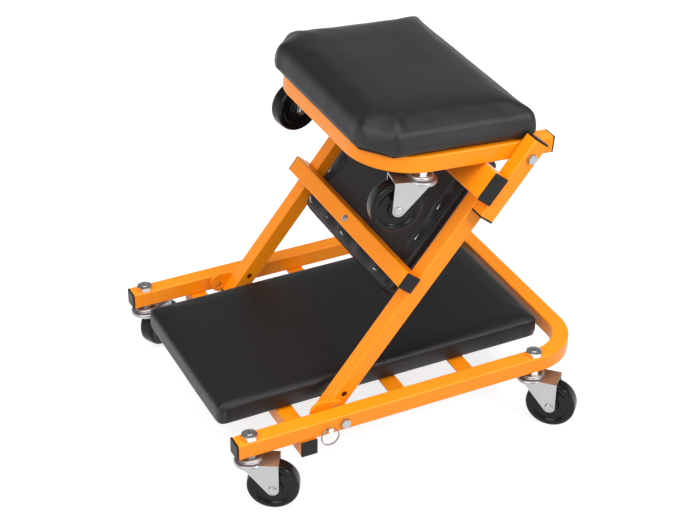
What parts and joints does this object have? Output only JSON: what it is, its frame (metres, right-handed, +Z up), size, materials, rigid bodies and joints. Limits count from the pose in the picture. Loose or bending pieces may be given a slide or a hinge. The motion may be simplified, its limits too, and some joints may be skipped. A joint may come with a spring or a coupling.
{
  "type": "folding mechanic creeper",
  "caption": "Low padded creeper of square steel tube on swivel casters, folded in a Z to make a rolling work seat; it opens flat to lie on under a vehicle.",
  "frame": {"origin": "on the floor, below the middle of the overall box", "axes": "+Z up, -X towards the open end of the base frame, +Y towards the right rail"},
  "size_m": [0.564, 0.516, 0.5213],
  "materials": {
    "orange_paint": "gloss",
    "zinc": "bright zinc plate",
    "bright_steel": "polished",
    "black_vinyl": "grained satin",
    "board": "bare plywood",
    "wheel_plastic": "gloss",
    "cap_plastic": "satin"
  },
  "bodies": {
    "base": {"base_frame": "orange_paint", "base_stop_tube": "orange_paint", "front_base_strap": "orange_paint", "rear_base_strap": "orange_paint", "base_tube_caps": "cap_plastic", "base_pad_board": "board", "base_pad": "black_vinyl", "base_pad_screws": "zinc", "fold_pivot_bolts": "zinc", "fold_pivot_nuts": "zinc", "fold_pivot_spacers": "zinc", "base_caster_studs": "zinc", "base_caster_nuts": "zinc", "base_caster_races": "zinc"},
    "middle": {"left_leg": "orange_paint", "right_leg": "orange_paint", "left_lock_plate": "orange_paint", "right_lock_plate": "orange_paint", "lower_cross_tube": "orange_paint", "upper_cross_tube": "orange_paint", "left_hinge_link": "orange_paint", "right_hinge_link": "orange_paint", "middle_tube_caps": "cap_plastic", "middle_pad_board": "board", "middle_pad": "black_vinyl", "middle_pad_screws": "zinc", "seat_pivot_bolts": "zinc", "seat_pivot_nuts": "zinc", "seat_pivot_washers": "zinc"},
    "seat": {"seat_frame": "orange_paint", "seat_cross_strap": "orange_paint", "seat_rail_caps": "cap_plastic", "seat_board": "board", "seat_pad": "black_vinyl", "seat_screws": "zinc", "seat_caster_studs": "zinc", "seat_caster_nuts": "zinc", "seat_caster_races": "zinc"},
    "left_lock_pin": {"left_lock_pin": "bright_steel"},
    "left_pin_ring": {"left_pin_ring": "bright_steel"},
    "right_lock_pin": {"right_lock_pin": "bright_steel"},
    "right_pin_ring": {"right_pin_ring": "bright_steel"},
    "front_left_swivel": {"front_left_caster_fork": "zinc", "front_left_caster_axle": "zinc"},
    "front_left_wheel": {"front_left_caster_wheel": "wheel_plastic"},
    "front_right_swivel": {"front_right_caster_fork": "zinc", "front_right_caster_axle": "zinc"},
    "front_right_wheel": {"front_right_caster_wheel": "wheel_plastic"},
    "rear_left_swivel": {"rear_left_caster_fork": "zinc", "rear_left_caster_axle": "zinc"},
    "rear_left_wheel": {"rear_left_caster_wheel": "wheel_plastic"},
    "rear_right_swivel": {"rear_right_caster_fork": "zinc", "rear_right_caster_axle": "zinc"},
    "rear_right_wheel": {"rear_right_caster_wheel": "wheel_plastic"},
    "seat_left_swivel": {"seat_left_caster_fork": "zinc", "seat_left_caster_axle": "zinc"},
    "seat_left_wheel": {"seat_left_caster_wheel": "wheel_plastic"},
    "seat_right_swivel": {"seat_right_caster_fork": "zinc", "seat_right_caster_axle": "zinc"},
    "seat_right_wheel": {"seat_right_caster_wheel": "wheel_plastic"}
  },
  "joints": [
    {"name": "middle_fold", "type": "hinge", "parent": "base", "child": "middle", "pos_m": [-0.1184, 0, 0.1029], "axis": [0, -1, 0], "range_deg": [0, 129]},
    {"name": "seat_fold", "type": "hinge", "parent": "middle", "child": "seat", "pos_m": [0.16354, 0, 0.45106], "axis": [0, 1, 0], "range_deg": [0, 124.5]},
    {"name": "left_pin_slide", "type": "slide", "parent": "base", "child": "left_lock_pin", "axis": [0, 1, 0], "range_m": [-0.015, 0.004]},
    {"name": "left_ring_swing", "type": "hinge", "parent": "left_lock_pin", "child": "left_pin_ring", "pos_m": [-0.1439, -0.2205, 0.1029], "axis": [-1, 0, 0], "range_deg": [0, 100]},
    {"name": "right_pin_slide", "type": "slide", "parent": "base", "child": "right_lock_pin", "axis": [0, -1, 0], "range_m": [-0.015, 0.004]},
    {"name": "right_ring_swing", "type": "hinge", "parent": "right_lock_pin", "child": "right_pin_ring", "pos_m": [-0.1439, 0.2205, 0.1029], "axis": [1, 0, 0], "range_deg": [0, 100]},
    {"name": "front_left_swivel", "type": "hinge", "parent": "base", "child": "front_left_swivel", "pos_m": [-0.258, -0.2025, 0.08], "axis": [0, 0, 1], "continuous": true},
    {"name": "front_left_roll", "type": "hinge", "parent": "front_left_swivel", "child": "front_left_wheel", "pos_m": [-0.23029, -0.2185, 0.0375], "axis": [0.5, 0.866, 0], "continuous": true},
    {"name": "front_right_swivel", "type": "hinge", "parent": "base", "child": "front_right_swivel", "pos_m": [-0.258, 0.2025, 0.08], "axis": [0, 0, 1], "continuous": true},
    {"name": "front_right_roll", "type": "hinge", "parent": "front_right_swivel", "child": "front_right_wheel", "pos_m": [-0.23029, 0.2185, 0.0375], "axis": [-0.5, 0.866, 0], "continuous": true},
    {"name": "rear_left_swivel", "type": "hinge", "parent": "base", "child": "rear_left_swivel", "pos_m": [0.1947, -0.2025, 0.08], "axis": [0, 0, 1], "continuous": true},
    {"name": "rear_left_roll", "type": "hinge", "parent": "rear_left_swivel", "child": "rear_left_wheel", "pos_m": [0.21733, -0.22513, 0.0375], "axis": [0.7071, 0.7071, 0], "continuous": true},
    {"name": "rear_right_swivel", "type": "hinge", "parent": "base", "child": "rear_right_swivel", "pos_m": [0.1947, 0.2025, 0.08], "axis": [0, 0, 1], "continuous": true},
    {"name": "rear_right_roll", "type": "hinge", "parent": "rear_right_swivel", "child": "rear_right_wheel", "pos_m": [0.21733, 0.22513, 0.0375], "axis": [-0.7071, 0.7071, 0], "continuous": true},
    {"name": "seat_left_swivel", "type": "hinge", "parent": "seat", "child": "seat_left_swivel", "pos_m": [0.01525, -0.16507, 0.44056], "axis": [0.0785, 0, 0.9969], "continuous": true},
    {"name": "seat_left_roll", "type": "hinge", "parent": "seat_left_swivel", "child": "seat_left_wheel", "pos_m": [-0.0195, -0.15951, 0.40067], "axis": [-0.1731, -0.9848, 0.0136], "continuous": true},
    {"name": "seat_right_swivel", "type": "hinge", "parent": "seat", "child": "seat_right_swivel", "pos_m": [0.01525, 0.16507, 0.44056], "axis": [0.0785, 0, 0.9969], "continuous": true},
    {"name": "seat_right_roll", "type": "hinge", "parent": "seat_right_swivel", "child": "seat_right_wheel", "pos_m": [-0.0195, 0.15951, 0.40067], "axis": [0.1731, -0.9848, -0.0136], "continuous": true}
  ],
  "couplings": [
    {"joint": "seat_fold", "follows": "middle_fold", "ratio": 0.96512}
  ]
}
